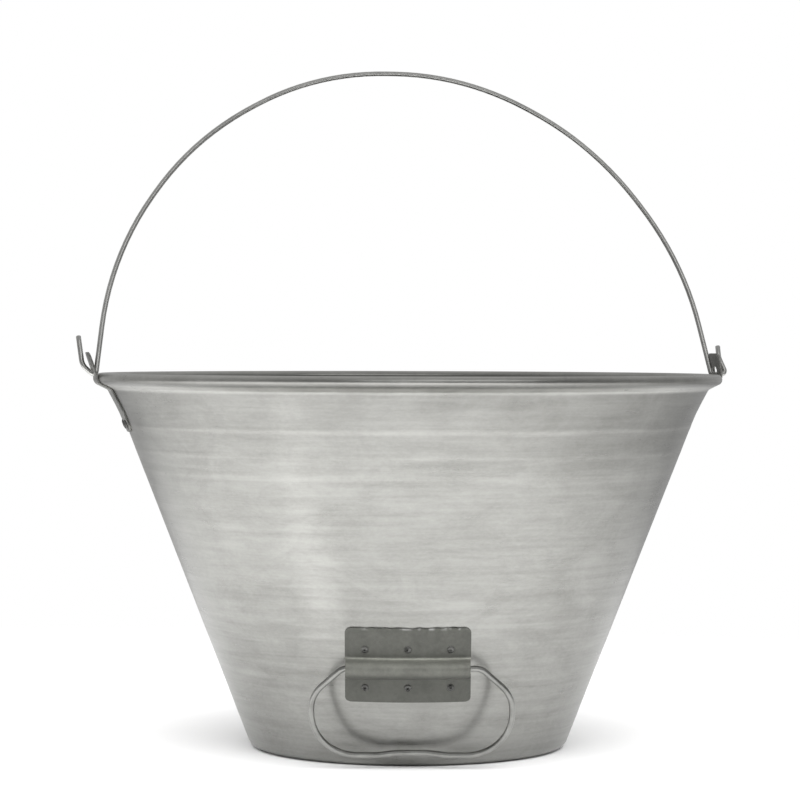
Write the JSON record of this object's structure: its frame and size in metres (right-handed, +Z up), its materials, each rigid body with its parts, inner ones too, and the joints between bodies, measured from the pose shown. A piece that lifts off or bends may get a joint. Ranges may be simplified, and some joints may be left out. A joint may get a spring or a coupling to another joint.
{
  "type": "florist bucket",
  "caption": "Conical sheet steel pail with a rolled wire-stiffened rim, two strap ears, a swinging wire bail and a drop handle held by a pressed plate near its foot.",
  "frame": {"origin": "centre of the ring that the pail stands on, at floor level", "axes": "+Z up along the pail's axis; the two ears and the bail's pivot axis lie along X; the handle plate faces -Y, turned 11 degrees towards -X"},
  "size_m": [0.3994, 0.3762, 0.4116],
  "materials": {
    "pail_sheet": "satin tinned sheet with fine level turning marks",
    "handle_plate": "darker dull tinned plate",
    "ear_strap": "dull tinned strap",
    "bail_wire": "drawn wire, satin",
    "handle_wire": "drawn wire, satin",
    "steel_wire": "plain drawn wire, hidden in the rim",
    "rivet": "tinned rivet heads"
  },
  "bodies": {
    "pail": {"bucket_body": "pail_sheet", "rim_wire": "steel_wire", "left_ear": "ear_strap", "right_ear": "ear_strap", "left_ear_rivet_1": "rivet", "left_ear_rivet_2": "rivet", "right_ear_rivet_1": "rivet", "right_ear_rivet_2": "rivet", "handle_plate": "handle_plate", "plate_rivet_1": "rivet", "plate_rivet_2": "rivet", "plate_rivet_3": "rivet", "plate_rivet_4": "rivet", "plate_rivet_5": "rivet", "plate_rivet_6": "rivet"},
    "bail": {"bail": "bail_wire"},
    "drop_handle": {"drop_handle": "handle_wire"}
  },
  "joints": [
    {"name": "bail_swing", "type": "hinge", "parent": "pail", "child": "bail", "pos_m": [0, 0, 0.2257], "axis": [1, 0, 0], "range_deg": [-68.4, 103.6]},
    {"name": "drop_handle_swing", "type": "hinge", "parent": "pail", "child": "drop_handle", "pos_m": [-0.02283, -0.11746, 0.05921], "axis": [-0.9816, 0.1908, 0], "range_deg": [-3, 170]}
  ]
}
